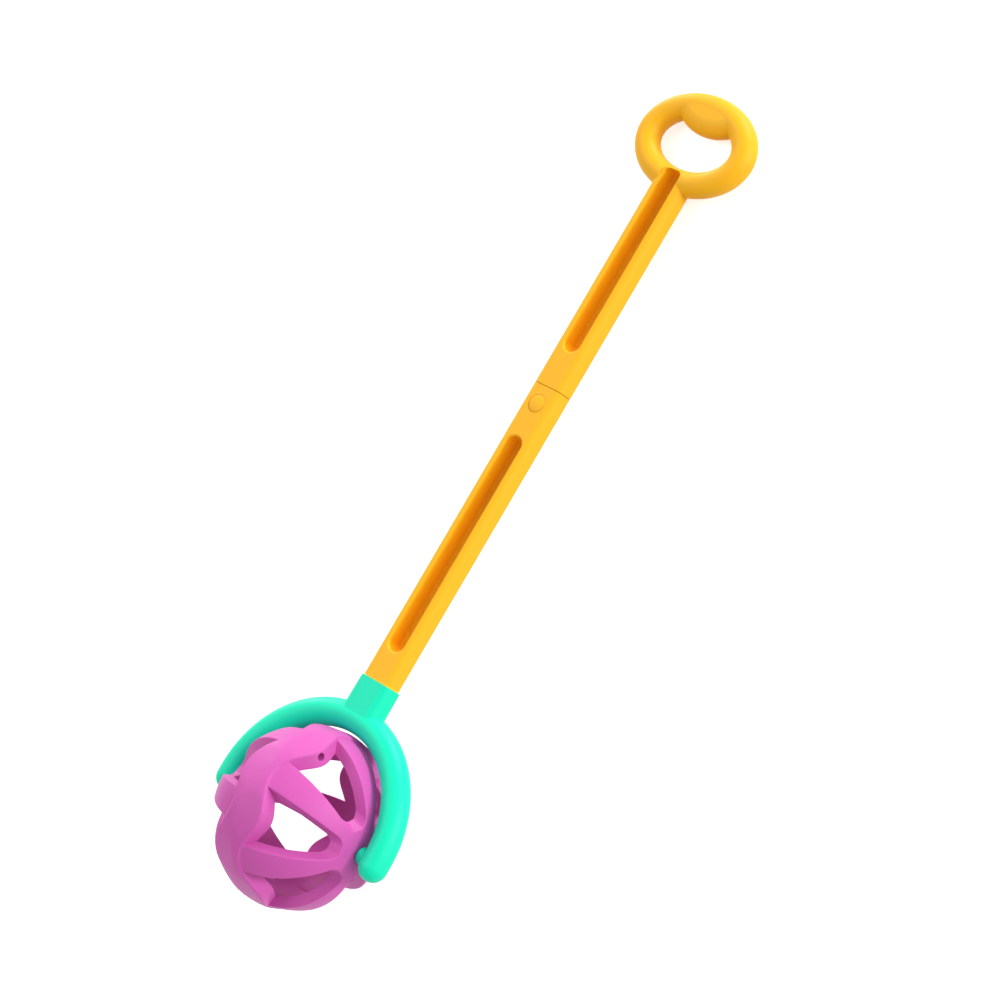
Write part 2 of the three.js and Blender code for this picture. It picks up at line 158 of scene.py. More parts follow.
class ForkSizes(bpy.types.PropertyGroup):
    """The half-round fork with its collar, bosses and axle pins."""

    arm: length("Arm radius", "Round section of the arch", 8.9)
    arch: length("Arch radius", "To the middle of the round section", 65.4)
    rise: length("Arch rise", "Axle to the centre of the arch", 2.1)
    reach: length("Arm reach", "Axle to where the arm's round end starts", 2.7)
    collar_top: length("Collar top", "Axle to the collar's mouth", 93)
    collar_half_width: length("Collar half width", "Across the toy, at the mouth", 13.9)
    collar_half_depth: length("Collar half depth", "Front to back, at the mouth", 8.1)
    collar_corner: length("Collar corner", "Radius of the collar's corners", 7)
    collar_draft: length("Collar draft", "How much wider the collar is at the arch", 0.3)
    mouth_round: length("Mouth round", "Rounding of the collar's rim", 0.25)
    socket_floor: length("Socket floor", "Axle to the bottom of the collar's socket", 72)
    boss: length("Boss radius", "Round boss at the end of each arm", 5.4)
    boss_round: length("Boss round", "Rounding of the boss's end", 1.6)
    boss_end: length("Boss end", "Middle plane to the boss's end", 52.7)
    pin: length("Pin radius", "Axle pin", 3.5)
    pin_tip: length("Pin tip", "Middle plane to the pin's round tip", 41.7)


class HandleSizes(bpy.types.PropertyGroup):
    """The two slotted bars of the handle and the ring grip."""

    half_width: length("Half width", "Half of the bar, across the toy", 12.2)
    half_depth: length("Half depth", "Half of the bar, front to back", 7.2)
    corner: length("Corner", "Radius of the bar's long corners", 5.3)
    bottom: length("Bottom", "Axle to the bar's lower end, on the collar", 93.05)
    seam: length("Seam", "Axle to the seam between the two bars", 298)
    seam_gap: length("Seam gap", "Between the two bars", 0.3)
    seam_round: length("Seam round", "Rounding of the bars' ends at the seam", 0.35)
    slot_half_width: length("Slot half width", "Half of each slot", 6.3)
    slot_floor: length("Slot floor", "Middle plane down to the slot's floor", 4.6)
    slot_draft: length("Slot draft", "How much a slot narrows down to its floor", 0.5)
    slot_floor_round: length("Slot floor round", "Rounding round the slot's floor", 1.2)
    slot_lip: length("Slot lip", "Rounding of the slot's rim", 1.4)
    slot_round: length("Slot round", "Corner radius of the slots' ends", 6.2)
    ring_end_round: length("Ring end round", "Corner radius where the slot meets the ring", 4)
    lower_slot_start: length("Lower slot start", "Axle to the lower slot", 113.5)
    lower_slot_end: length("Lower slot end", "Axle to the lower slot's far end", 263)
    upper_slot_start: length("Upper slot start", "Axle to the upper slot", 323)
    upper_slot_end: length("Upper slot end", "Axle to the upper slot's far end", 451.5)
    spigot_inset: length("Spigot inset", "How much the upper bar's spigot steps in", 2.3)
    socket_inset: length("Socket inset", "Wall of the lower bar round the spigot", 2)
    spigot: length("Spigot length", "How far the upper bar goes into the lower", 30)
    spigot_lead: length("Spigot lead", "Rounding of both spigots' ends", 1.2)
    socket_end_gap: length("Socket end gap", "Upper spigot's end to the socket's floor", 1.2)
    collar_inset: length("Collar inset", "How much the bar steps in inside the collar", 1.4)
    collar_gap: length("Collar gap", "Round the bar and below it, inside the collar", 0.3)
    ring_place: length("Ring place", "Axle to the ring's centre", 471.1)
    ring_half_width: length("Ring half width", "To the middle of the tube, across", 36.9)
    ring_half_length: length("Ring half length", "To the middle of the tube, along", 25.2)
    ring_tube: length("Ring tube radius", "Round section of the ring", 8.1)
    pad_half: length("Pad half thickness", "Lens-shaped pad in the ring", 7.9)
    pad_round: length("Pad round", "How far back from its free edge the pad thins", 10)
    pad_edge_radius: length("Pad edge radius", "Curve of the pad's free edge", 38)
    pad_edge: length("Pad edge", "Ring's centre to the pad's free edge", 6.8)


class ButtonSizes(bpy.types.PropertyGroup):
    """The snap button that locks the two bars."""

    place: length("Place", "Axle to the button's centre", 286.2)
    radius: length("Radius", "Button's head", 5.8)
    clearance: length("Clearance", "Round the head and the tongue", 0.15)
    proud: length("Proud", "Rim above the bar's face", 0.3)
    crown: length("Crown", "Middle above the rim", 0.5)
    round: length("Round", "Rounding of the rim", 0.9)
    tongue_half_width: length("Tongue half width", "Springy tongue under the head", 4.5)
    tongue_thickness: length("Tongue thickness", "Springy tongue under the head", 1.6)
    tongue_start: length("Tongue start", "Spigot's end to the tongue", 3.3)
    tongue_end: length("Tongue end", "Seam to the tongue", 3.8)
    pocket_start: length("Pocket start", "Spigot's end to the tongue's pocket", 3)
    pocket_end: length("Pocket end", "Seam to the tongue's pocket", 3.4)
    travel: length("Travel", "How far the button presses in", 2.8)


class ToyColours(bpy.types.PropertyGroup):
    """Colours and surface of the three moulded plastics."""

    yellow: colour("Yellow", "Handle and button", "#F8B516")
    teal: colour("Teal", "Fork", "#04E2B3")
    pink: colour("Pink", "Ball", "#C956AA")
    roughness: share("Roughness", "Satin gloss of the mouldings", 0.48)
    unevenness: share("Unevenness", "How far the gloss wanders from it", 0.03)
    polish: length("Polish size", "Size of the mould's slow unevenness", 12)
    peel: length("Peel size", "Size of the fine orange peel", 0.8)
    peel_depth: length("Peel depth", "Height of the fine orange peel", 0.05)
    peel_strength: share("Peel strength", "How much of the peel shows", 0.05)


class PushToySettings(bpy.types.PropertyGroup):
    """All sizes and colours of the toy."""

    ball: PointerProperty(type=BallSizes)
    fork: PointerProperty(type=ForkSizes)
    handle: PointerProperty(type=HandleSizes)
    button: PointerProperty(type=ButtonSizes)
    colours: PointerProperty(type=ToyColours)


# Materials


def add_node(tree, kind, options=None, links=None, values=None):
    """Adds a node, sets it and feeds its inputs from other nodes' outputs."""
    node = tree.nodes.new(kind)
    for name, value in (options or {}).items():
        setattr(node, name, value)
    for name, value in (values or {}).items():
        node.inputs[name].default_value = value
    for name, output in (links or {}).items():
        tree.links.new(output, node.inputs[name])
    return node


def moulded_polypropylene(name, tint, look):
    """Injection-moulded polypropylene: full colour, satin gloss and a faintly uneven polish."""
    found = bpy.data.materials.get(name)
    if found:
        return found
    material = bpy.data.materials.new(name)
    material.use_nodes = True
    tree = material.node_tree
    tree.nodes.clear()
    place = add_node(tree, "ShaderNodeTexCoord")
    # Slow unevenness of the mould's polish: soft highlights that waver a little along a bar
    polish = add_node(
        tree,
        "ShaderNodeTexNoise",
        links={"Vector": place.outputs["Object"]},
        values={"Scale": 1 / look.polish, "Detail": 2.0, "Roughness": 0.5},
    )
    gloss = add_node(
        tree,
        "ShaderNodeMapRange",
        links={"Value": polish.outputs["Fac"]},
        values={
            "To Min": look.roughness - look.unevenness,
            "To Max": look.roughness + look.unevenness,
        },
    )
    # Fine orange peel, which just shows close up
    peel = add_node(
        tree,
        "ShaderNodeTexNoise",
        links={"Vector": place.outputs["Object"]},
        values={"Scale": 1 / look.peel, "Detail": 1.0},
    )
    bump = add_node(
        tree,
        "ShaderNodeBump",
        links={"Height": peel.outputs["Fac"]},
        values={"Strength": look.peel_strength, "Distance": look.peel_depth},
    )
    shader = add_node(
        tree,
        "ShaderNodeBsdfPrincipled",
        links={"Roughness": gloss.outputs["Result"], "Normal": bump.outputs["Normal"]},
        values={
            "Base Color": (*tint, 1),
            "IOR": 1.49,
            "Specular IOR Level": 0.25,
        },
    )
    add_node(tree, "ShaderNodeOutputMaterial", links={"Surface": shader.outputs["BSDF"]})
    return material


# Shapes


def rounding(radius, steps):
    """A small quarter circle: how far each of its points lies from one face and from the next."""
    turns = [QUARTER * i / steps for i in range(steps + 1)]
    return [(radius * (1 - math.cos(turn)), radius * (1 - math.sin(turn))) for turn in turns]


def rounded_loop(mesh, half_x, half_y, corner, place, far_corner=None):
    """Edges of a rounded rectangle: a circle whose quarters are moved apart, then put in place."""
    turned = Matrix.Rotation(HALF / OUTLINE_STEPS, 4, "Z")
    far_corner = far_corner or corner
    made = bmesh.ops.create_circle(mesh, segments=OUTLINE_STEPS, radius=1, matrix=turned)
    verts = made["verts"]
    for vert in verts:
        side = math.copysign(1, vert.co.x)
        if vert.co.y > 0:
            vert.co *= far_corner
            vert.co += Vector((side * (half_x - far_corner), half_y - far_corner, 0))
        else:
            vert.co *= corner
            vert.co += Vector((side * (half_x - corner), corner - half_y, 0))
    bmesh.ops.transform(mesh, matrix=place, verts=verts)
    return loop_edges(verts)


def circle_loop(mesh, radius, place, steps):
    """Edges of a circle."""
    verts = bmesh.ops.create_circle(mesh, segments=steps, radius=radius, matrix=place)["verts"]
    return loop_edges(verts)


def loop_edges(verts):
    """The edges that join these points to each other."""
    inside = set(verts)
    edges = dict.fromkeys(edge for vert in verts for edge in vert.link_edges)
    return [edge for edge in edges if set(edge.verts) <= inside]


def skin(mesh, loops, closed=False):
    """Bridges each loop to the next and closes the ends."""
    pairs = list(zip(loops, loops[1:]))
    if closed:
        pairs.append((loops[-1], loops[0]))
    for first, second in pairs:
        bmesh.ops.bridge_loops(mesh, edges=first + second)
    if not closed:
        for loop in (loops[0], loops[-1]):
            bmesh.ops.holes_fill(mesh, edges=loop)


def across_y(y):
    """Puts a flat outline across the handle at a height, its own Y to the back of the toy."""
    return Matrix.Translation((0, y, 0)) @ Matrix.Rotation(QUARTER, 4, "X")


def as_object(mesh, name, material=None):
    """Lays the shape down with the toy and makes an object of it."""
    bmesh.ops.recalc_face_normals(mesh, faces=mesh.faces)
    data = bpy.data.meshes.new(name)
    mesh.to_mesh(data)
    mesh.free()
    data.transform(LAID)
    made = bpy.data.objects.new(name, data)
    bpy.context.scene.collection.objects.link(made)
    if material:
        data.materials.append(material)
    return made


def settle(made):
    """Replaces an object's mesh by what its modifiers make of it."""
    bpy.context.view_layer.update()
    graph = bpy.context.evaluated_depsgraph_get()
    before = made.data
    made.data = bpy.data.meshes.new_from_object(made.evaluated_get(graph))
    made.modifiers.clear()
    bpy.data.meshes.remove(before)


def combine(made, tool_mesh, operation):
    """Adds a shape to an object, or takes it away, as the mould does."""
    tool = as_object(tool_mesh, "tool")
    modifier = made.modifiers.new(operation.title(), "BOOLEAN")
    modifier.object = tool
    modifier.operation = operation
    modifier.solver = "MANIFOLD"
    settle(made)
    bpy.data.objects.remove(tool)


def finish_surface(made, body, node):
    """Smooth shading that keeps the flats flat, and the piece's place in the frame."""
    made.data.polygons.foreach_set("use_smooth", [True] * len(made.data.polygons))
    made.data.set_sharp_from_angle(angle=SHARP)
    weighted = made.modifiers.new("Flats", "WEIGHTED_NORMAL")
    weighted.keep_sharp = True
    weighted.weight = FLATNESS
    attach(made, body)
    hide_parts(node)


def bar(sizes, inset, start, end, start_round=0, end_round=0):
    """A length of the handle's rounded bar, drawn in by an inset."""
    mesh = bmesh.new()

    def outline(y, extra):
        """The bar's outline at a height, drawn in by the inset and an extra."""
        total = inset + extra
        return rounded_loop(
            mesh,
            sizes.half_width - total,
            sizes.half_depth - total,
            sizes.corner - inset / 2 - extra,
            across_y(y),
        )

    def end_loops(place, radius, into):
        """From the full outline to the end, which lies at a place; into is the way to the bar."""
        if not radius:
            return [outline(place, 0)]
        steps = rounding(radius, BAR_END_STEPS)[:-1]
        return [outline(place + into * short, inward) for inward, short in steps]

    loops = end_loops(start, start_round, 1)[::-1] + end_loops(end, end_round, -1)
    skin(mesh, loops)
    return mesh


def slot(sizes, start, end, end_round):
    """What a slot takes out: drafted sides, a rounded floor edge and a rounded rim."""
    mesh = bmesh.new()
    middle = (start + end) / 2
    half = (end - start) / 2

    def outline(z, inset):
        """The slot's outline at a depth, drawn in by an inset."""
        return rounded_loop(
            mesh,
            sizes.slot_half_width - inset,
            half - inset,
            sizes.slot_round - inset,
            Matrix.Translation((0, middle, z)),
            far_corner=end_round - inset,
        )

    loops = [
        outline(up - sizes.slot_floor, sizes.slot_draft + inward)
        for up, inward in rounding(sizes.slot_floor_round, SLOT_EDGE_STEPS)
    ]
    for outward, down in rounding(sizes.slot_lip, SLOT_EDGE_STEPS):
        loops.append(outline(sizes.half_depth - down, -outward))
    loops.append(outline(sizes.half_depth + 2 * OVERRUN, -sizes.slot_lip))
    skin(mesh, loops)
    return mesh


def disc(radius, bottom, top, place, steps=DISC_STEPS):
    """A cylinder along Z between two heights."""
    mesh = bmesh.new()
    loops = [
        circle_loop(mesh, radius, place @ Matrix.Translation((0, 0, z)), steps)
        for z in (bottom, top)
    ]
    skin(mesh, loops)
    return mesh


def block(half_width, start, end, bottom, top):
    """A plain block across the handle, between two heights and two depths."""
    mesh = bmesh.new()
    size = Matrix.Diagonal((2 * half_width, end - start, top - bottom, 1))
    place = Matrix.Translation((0, (start + end) / 2, (bottom + top) / 2))
    bmesh.ops.create_cube(mesh, size=1, matrix=place @ size)
    return mesh


def ring_tube(sizes):
    """The grip's round tube, led round an oval."""
    mesh = bmesh.new()
    wide = sizes.ring_half_width
    long = sizes.ring_half_length
    up = Vector((0, 0, 1))
    loops = []
    for i in range(OVAL_STEPS):
        turn = FULL * i / OVAL_STEPS
        across = math.cos(turn)
        along = math.sin(turn)
        centre = Matrix.Translation((wide * across, sizes.ring_place + long * along, 0))
        out = Vector((across / wide, along / long, 0)).normalized()
        turned = Matrix((out, up, out.cross(up))).transposed().to_4x4()
        loops.append(circle_loop(mesh, sizes.ring_tube, centre @ turned, TUBE_STEPS))
    skin(mesh, loops, closed=True)
    return mesh


def grip_pad(sizes):
    """A wide disc with a rounded rim. The ring's oval cuts the lens-shaped pad out of it."""
    mesh = bmesh.new()
    centre = Matrix.Translation((0, sizes.ring_place + sizes.pad_edge + sizes.pad_edge_radius, 0))
    loops = []
    for i in range(-PAD_EDGE_STEPS, PAD_EDGE_STEPS + 1):
        turn = QUARTER * i / PAD_EDGE_STEPS
        radius = sizes.pad_edge_radius - sizes.pad_round * (1 - math.cos(turn))
        place = centre @ Matrix.Translation((0, 0, sizes.pad_half * math.sin(turn)))
        loops.append(circle_loop(mesh, radius, place, PAD_STEPS))
    skin(mesh, loops)
    return mesh


def oval_block(sizes):
    """The oval along the middle of the ring's tube, as a block that is deeper than the pad."""
    mesh = bmesh.new()
    reach = sizes.pad_half + 2 * OVERRUN
    stretch = Matrix.Diagonal((sizes.ring_half_width, sizes.ring_half_length, 1, 1))
    loops = []
    for z in (-reach, reach):
        place = Matrix.Translation((0, sizes.ring_place, z)) @ stretch
        loops.append(circle_loop(mesh, 1, place, OVAL_STEPS))
    skin(mesh, loops)
    return mesh


def spun(profile, place):
    """A turned shape: a profile of radii and places, spun about its own X, from axis to axis."""
    mesh = bmesh.new()
    verts = [mesh.verts.new((along, radius, 0)) for radius, along in profile]
    edges = [mesh.edges.new(pair) for pair in zip(verts, verts[1:])]
    bmesh.ops.spin(
        mesh,
        geom=verts + edges,
        cent=(0, 0, 0),
        axis=(1, 0, 0),
        dvec=(0, 0, 0),
        angle=FULL,
        steps=DISC_STEPS,
        use_merge=True,
    )
    bmesh.ops.remove_doubles(mesh, verts=mesh.verts, dist=MERGE)
    bmesh.ops.transform(mesh, matrix=place, verts=mesh.verts)
    return mesh


def arch(sizes):
    """The fork's tube: a circle spun through a half turn, straight legs and round ends."""
    mesh = bmesh.new()
    place = Matrix.Translation((sizes.arch, sizes.rise, 0)) @ Matrix.Rotation(QUARTER, 4, "X")
    first = circle_loop(mesh, sizes.arm, place, TUBE_STEPS)
    verts = list(dict.fromkeys(vert for edge in first for vert in edge.verts))
    bmesh.ops.spin(
        mesh,
        geom=verts + first,
        cent=(0, sizes.rise, 0),
        axis=(0, 0, 1),
        dvec=(0, 0, 0),
        angle=HALF,
        steps=ARCH_STEPS,
    )
    for side in (1, -1):
        open_edges = [edge for edge in mesh.edges if edge.is_boundary]
        loop = [edge for edge in open_edges if all(v.co.x * side > 0 for v in edge.verts)]
        end_arm(mesh, sizes, loop, Vector((side * sizes.arch, sizes.rise, 0)))
    return mesh


def end_arm(mesh, sizes, loop, centre):
    """Draws an open end of the arch's tube down into a straight leg and closes it with a dome."""
    drop = sizes.rise + sizes.reach
    radius = sizes.arm
    for i in range(ARM_END_STEPS + 1):
        grown = bmesh.ops.extrude_edge_only(mesh, edges=loop)["geom"]
        verts = [item for item in grown if isinstance(item, bmesh.types.BMVert)]
        loop = loop_edges(verts)
        bmesh.ops.translate(mesh, verts=verts, vec=(0, -drop, 0))
        centre.y -= drop
        if i == ARM_END_STEPS:
            bmesh.ops.pointmerge(mesh, verts=verts, merge_co=centre)
            return
        turn = QUARTER * i / ARM_END_STEPS
        after = QUARTER * (i + 1) / ARM_END_STEPS
        target = sizes.arm * math.cos(turn)
        factor = (target / radius,) * 3
        bmesh.ops.scale(mesh, verts=verts, vec=factor, space=Matrix.Translation(-centre))
        radius = target
        drop = sizes.arm * (math.sin(after) - math.sin(turn))


def collar(sizes):
    """The collar round the bar's end, from the middle of the arch's tube up to its mouth."""
    mesh = bmesh.new()

    def outline(y, inset):
        """The collar's outline at a height, drawn in by an inset."""
        return rounded_loop(
            mesh,
            sizes.collar_half_width - inset,
            sizes.collar_half_depth - inset,
            sizes.collar_corner - inset,
            across_y(y),
        )

    loops = [outline(sizes.rise + sizes.arch, -sizes.collar_draft)]
    for inward, short in rounding(sizes.mouth_round, MOUTH_STEPS):
        loops.append(outline(sizes.collar_top - short, inward))
    skin(mesh, loops)
    return mesh


def axle(sizes, side):
    """Boss and axle pin on one arm, pointing at the ball."""
    profile = [(0, sizes.pin_tip)]
    for along, inward in rounding(sizes.pin, AXLE_STEPS)[1:]:
        profile.append((sizes.pin - inward, sizes.pin_tip + along))
    profile.append((sizes.pin, sizes.boss_end))
    for along, inward in rounding(sizes.boss_round, AXLE_STEPS):
        profile.append((sizes.boss - inward, sizes.boss_end + along))
    profile.append((sizes.boss, sizes.arch))
    profile.append((0, sizes.arch))
    return spun(profile, Matrix.Rotation(0 if side > 0 else HALF, 4, "Z"))


# The ball's half is one sheet of faces wrapped round the axle. Each corner of the sheet has a turn
# round the axle and a row. The rows run from the middle plane over the band, down its step, along
# the spokes and over the hub to the bore.
SECTORS = 6
COLUMNS = 48  # of the sheet, in one sector
WINDOW_COLUMNS = 32  # of them, those across a window
PITCH = FULL / SECTORS
HALF_WINDOW = PITCH * WINDOW_COLUMNS / COLUMNS / 2
ZONES = (("band", 16), ("rounding", 5), ("step", 5), ("spoke", 24), ("hub", 6), ("face", 1))
ROWS = [(zone, i / count) for zone, count in ZONES for i in range(count)] + [("face", 1)]
BAND_EDGE = ROWS.index(("step", 0))
WINDOW_END = ROWS.index(("hub", 0))
ROUNDED = math.radians(60)  # how far the band's edge is rounded before its step
STEP_POWER = 2.5  # how soon the step runs out on the spokes
CORNER_POWER = 4  # how late a window's end draws back towards its corners
FACET_POWER = 4  # how blunt a facet's tips are
HUB_BEND = 0.7  # share of the hub's rows before the sleeve bends in
SPOKE_START = 1.001  # across a window, just past its side
CLOSE = 0.01 * MM  # corners of the sheet closer than this are one
BEVEL_STEPS = 3


def across_window(turn):
    """Turn of the nearest window's middle, and the place across it: 1 at its side, more past it."""
    middle = round(turn / PITCH) * PITCH
    return middle, (turn - middle) / HALF_WINDOW


def band_edge(sizes, turn):
    """The band's wavy edge, widest at the middle of each lobe."""
    swell = (1 + math.cos(turn * SECTORS)) / 2
    return sizes.band_half_width + (sizes.lobe_reach - sizes.band_half_width) * swell


def band_radius(sizes, axial):
    """Radius of the band's outside, at a distance from the middle plane."""
    return sizes.radius * math.sqrt(1 - (axial / sizes.pole_radius) ** 2) + sizes.band_rise


def facet_depth(sizes, turn, axial):
    """How deep a lobe's leaf-shaped facet cuts into the band, straight from end to end."""
    off = turn - across_window(turn)[0]
    leaf = 1 - (off / sizes.facet_half_angle) ** FACET_POWER
    if leaf <= 0:
        return 0
    stop = band_edge(sizes, turn) - sizes.band_round * math.sin(ROUNDED)
    start = stop - (stop + sizes.facet_start) * math.sqrt(leaf)
    if not start < axial < stop:
        return 0
    part = (axial - start) / (stop - start)
    chord = band_radius(sizes, start) * (1 - part) + band_radius(sizes, stop) * part
    return band_radius(sizes, axial) - chord


def oval(middle, pole, latitude):
    """Place along the axle and radius of a point on an oval skin."""
    return pole * math.sin(latitude), middle * math.cos(latitude)


def corner_draw(sizes, across):
    """How far a window's round end draws back from the hub, at a place across the window."""
    return sizes.window_corner * min(abs(across), 1) ** CORNER_POWER


def hub_face_place(sizes):
    """Place along the axle where the ball's skin meets the hub's flat face."""
    return oval(sizes.radius, sizes.pole_radius, math.acos(sizes.hub_face / sizes.radius))[0]


def outer_skin(sizes, turn, row):
    """Place along the axle and radius of a corner of the outer skin."""
    zone, part = ROWS[row]
    across = across_window(turn)[1]
    edge = band_edge(sizes, turn)
    foot = edge + sizes.band_step
    flat_end = edge - sizes.band_round * math.sin(ROUNDED)
    if zone == "band":
        axial = flat_end * part
        facet = facet_depth(sizes, turn, axial) + facet_depth(sizes, turn + PITCH / 2, -axial)
        return axial, band_radius(sizes, axial) - facet
    if zone == "rounding":
        axial = flat_end + sizes.band_round * math.sin(ROUNDED * part)
        return axial, band_radius(sizes, axial) - sizes.band_round * (1 - math.cos(ROUNDED * part))
    if zone == "step":
        axial = edge + (foot - edge) * part
        left = sizes.band_rise - sizes.band_round * (1 - math.cos(ROUNDED))
        slope = left * (1 - part) ** STEP_POWER
        return axial, band_radius(sizes, axial) - sizes.band_rise + slope
    reach = sizes.window_hub + corner_draw(sizes, across)
    if zone == "spoke":
        start = math.asin(foot / sizes.pole_radius)
        stop = math.acos(reach / sizes.radius)
        return oval(sizes.radius, sizes.pole_radius, start + (stop - start) * part)
    if zone == "hub":
        radius = reach + (sizes.hub_face - reach) * part
        return oval(sizes.radius, sizes.pole_radius, math.acos(radius / sizes.radius))
    return hub_face_place(sizes), sizes.bore if part else sizes.hub_face


def inner_skin(sizes, turn, row):
    """Place along the axle, radius and turn of a corner of the inner skin, with the drafts."""
    zone, part = ROWS[row]
    middle, across = across_window(turn)
    equator = sizes.radius - sizes.wall
    pole = sizes.pole_radius - sizes.wall

    def narrowed(radius, amount):
        """The corner's turn, drawn in towards the window by an amount of its side's draft."""
        if abs(across) > SPOKE_START:
            return turn
        return middle + across * (HALF_WINDOW - amount * math.asin(sizes.side_draft / radius))

    base = band_edge(sizes, narrowed(equator, 1)) + sizes.base_draft
    if row <= BAND_EDGE:
        done = outer_skin(sizes, turn, row)[0] / band_edge(sizes, turn)
        axial = base * done
        radius = equator * math.sqrt(1 - (axial / pole) ** 2)
        return axial, radius, narrowed(equator, done)
    reach = sizes.window_hub + sizes.hub_draft + corner_draw(sizes, across)
    if row <= WINDOW_END:
        start = math.asin(base / pole)
        stop = math.acos(reach / equator)
        done = (row - BAND_EDGE) / (WINDOW_END - BAND_EDGE)
        axial, radius = oval(equator, pole, start + (stop - start) * done)
        return axial, radius, narrowed(radius, 1)
    floor = hub_face_place(sizes) - sizes.hub_depth
    if zone == "face":
        return floor, sizes.bore if part else sizes.hub_sleeve, turn
    bend = sizes.hub_sleeve + sizes.hub_fillet
    if part < HUB_BEND:
        radius = reach + (bend - reach) * part / HUB_BEND
        axial = oval(equator, pole, math.acos(radius / equator))[0]
        return axial, radius, narrowed(radius, 1 - part)
    axial = oval(equator, pole, math.acos(bend / equator))[0]
    done = (part - HUB_BEND) / (1 - HUB_BEND)
    return axial + (floor - axial) * done, bend - sizes.hub_fillet * math.sqrt(done), turn


def ball_half(sizes):
    """One moulding of the ball: an openwork shell with its hub."""
    mesh = bmesh.new()
    rows = len(ROWS) - 1
    bmesh.ops.create_grid(mesh, x_segments=SECTORS * COLUMNS, y_segments=rows, size=1)
    turn_of = mesh.verts.layers.float.new("turn")
    row_of = mesh.verts.layers.int.new("row")
    inside = mesh.verts.layers.int.new("inside")
    for vert in mesh.verts:
        vert[turn_of] = (vert.co.x + 1) / 2 * FULL - PITCH / 2
        vert[row_of] = round((vert.co.y + 1) / 2 * rows)
    windows = []
    for face in mesh.faces:
        turn = sum(v[turn_of] for v in face.verts) / 4
        row = sum(v[row_of] for v in face.verts) / 4
        if abs(across_window(turn)[1]) < 1 and BAND_EDGE < row < WINDOW_END:
            windows.append(face)
    bmesh.ops.delete(mesh, geom=windows, context="FACES")

    def put(vert, axial, radius, turn):
        """Moves a corner of the sheet to its place in the ball."""
        turn += sizes.lobe_turn
        vert.co = (axial, radius * math.cos(turn), radius * math.sin(turn))

    for vert in mesh.verts:
        put(vert, *outer_skin(sizes, vert[turn_of], vert[row_of]), vert[turn_of])
    bmesh.ops.remove_doubles(mesh, verts=mesh.verts, dist=CLOSE)
    grown = bmesh.ops.extrude_face_region(mesh, geom=mesh.faces[:], use_keep_orig=True)["geom"]
    for vert in grown:
        if isinstance(vert, bmesh.types.BMVert):
            vert[inside] = 1
            put(vert, *inner_skin(sizes, vert[turn_of], vert[row_of]))
    bmesh.ops.recalc_face_normals(mesh, faces=mesh.faces)

    # The openwork's rims run where one of the walls between the two skins meets a skin
    rims = []
    for edge in mesh.edges:
        first, second = edge.verts
        walls = [f for f in edge.link_faces if len({v[inside] for v in f.verts}) == 2]
        on_seam = first[row_of] == second[row_of] == 0
        if first[inside] == second[inside] and len(walls) == 1 and not on_seam:
            rims.append(edge)
    bmesh.ops.bevel(
        mesh,
        geom=rims,
        offset=sizes.edge_round,
        offset_type="OFFSET",
        segments=BEVEL_STEPS,
        profile=0.5,
        affect="EDGES",
        clamp_overlap=False,
        material=-1,
    )
    return mesh


def peg(sizes, radius, start, end, turn):
    """A round bar beside the axle, just inside the ball's skin."""
    out = sizes.radius - sizes.peg_inset
    place = Matrix.Translation((0, out * math.cos(turn), out * math.sin(turn)))
    return disc(radius, start, end, place @ Matrix.Rotation(QUARTER, 4, "Y"), PEG_STEPS)


def settings():
    """The sizes and colours that the panel shows."""
    return bpy.context.scene.push_toy


def plastic(tint_name):
    """One of the toy's three plastics, by the name of its colour."""
    look = settings().colours
    name = f"{tint_name}_moulded_polypropylene"
    return moulded_polypropylene(name, getattr(look, tint_name), look)


class PUSHTOY_OT_ring_handle(bpy.types.Operator):
    """Upper bar of the handle with its ring grip, pad, slot and spigot"""

    bl_idname = "pushtoy.ring_handle"
    bl_label = "Ring handle"

    def execute(self, context):
        sizes = settings().handle
        button = settings().button
        made = as_object(grip_pad(sizes), "ring_handle_moulding", plastic("yellow"))
        combine(made, oval_block(sizes), "INTERSECT")
        combine(made, ring_tube(sizes), "UNION")
        start = sizes.seam + sizes.seam_gap / 2
        stop = sizes.ring_place - sizes.ring_half_length
        combine(made, bar(sizes, 0, start, stop, start_round=sizes.seam_round), "UNION")
        cut = slot(sizes, sizes.upper_slot_start, sizes.upper_slot_end, sizes.ring_end_round)
        combine(made, cut, "DIFFERENCE")
        tip = sizes.seam - sizes.spigot
        root = start + OVERRUN
        spigot = bar(sizes, sizes.spigot_inset, tip, root, start_round=sizes.spigot_lead)
        combine(made, spigot, "UNION")
        spigot_face = sizes.half_depth - sizes.spigot_inset
        floor = spigot_face - button.tongue_thickness - button.travel - button.clearance
        pocket = block(
            button.tongue_half_width + button.clearance,
            tip + button.pocket_start,
            sizes.seam - button.pocket_end,
            floor,
            spigot_face + OVERRUN,
        )
        combine(made, pocket, "DIFFERENCE")
        place = Matrix.Translation((0, button.place, 0))
        well = disc(button.radius + button.clearance, floor, spigot_face + OVERRUN, place)
        combine(made, well, "DIFFERENCE")
        finish_surface(made, "handle", "ring_handle")
        return {"FINISHED"}


